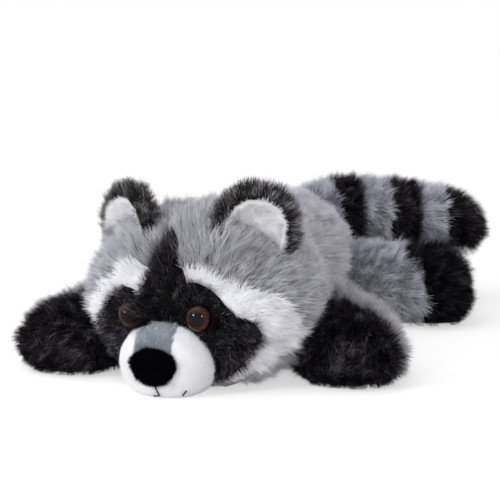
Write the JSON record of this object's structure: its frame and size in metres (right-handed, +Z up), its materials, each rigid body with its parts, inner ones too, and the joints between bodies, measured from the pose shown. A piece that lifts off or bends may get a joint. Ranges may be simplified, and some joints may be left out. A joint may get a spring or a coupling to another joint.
{
  "type": "plush raccoon",
  "caption": "Soft toy raccoon lying flat on its belly, legs spread, ringed tail curled to one side, with a masked face, white muzzle and brown eyes.",
  "frame": {"origin": "on the table under the belly, on the toy's middle line", "axes": "+Z up, -Y towards the nose, +X towards the toy's left side"},
  "size_m": [0.2604, 0.3405, 0.1226],
  "materials": {
    "grey_fur": "long pile plush",
    "pale_grey_fur": "long pile plush",
    "white_fur": "long pile plush",
    "black_fur": "long pile plush",
    "white_velour": "short pile velour",
    "grey_velour": "short pile velour",
    "black_velour": "short pile velour",
    "eye_plastic": "polished, brown with a black pupil",
    "washer_plastic": "satin",
    "fibre_fill": "matte loose fibre"
  },
  "bodies": {
    "root": {"arm_sleeve_left": "pale_grey_fur", "arm_sleeve_right": "pale_grey_fur", "arm_stuffing_left": "fibre_fill", "arm_stuffing_right": "fibre_fill", "blaze": "black_fur", "brow_band_left": "white_fur", "brow_band_right": "white_fur", "ear_back_left": "black_fur", "ear_back_right": "black_fur", "ear_lining_left": "white_velour", "ear_lining_right": "white_velour", "eye_left": "eye_plastic", "eye_right": "eye_plastic", "eye_washer_left": "washer_plastic", "eye_washer_right": "washer_plastic", "foot_left": "black_fur", "foot_right": "black_fur", "head_crown": "grey_fur", "head_stuffing": "fibre_fill", "leg_stuffing_left": "fibre_fill", "leg_stuffing_right": "fibre_fill", "mask_left": "black_fur", "mask_right": "black_fur", "muzzle_bridge": "grey_velour", "muzzle_left": "white_velour", "muzzle_right": "white_velour", "nose": "black_velour", "paw_left": "black_fur", "paw_right": "black_fur", "tail_ring_1_grey": "grey_fur", "tail_ring_2_black": "black_fur", "tail_ring_3_grey": "grey_fur", "tail_ring_4_black": "black_fur", "tail_ring_5_grey": "grey_fur", "tail_stuffing": "fibre_fill", "tail_tip": "black_fur", "thigh_left": "grey_fur", "thigh_right": "grey_fur", "torso_back": "pale_grey_fur", "torso_belly": "pale_grey_fur", "torso_stuffing": "fibre_fill"}
  },
  "joints": []
}
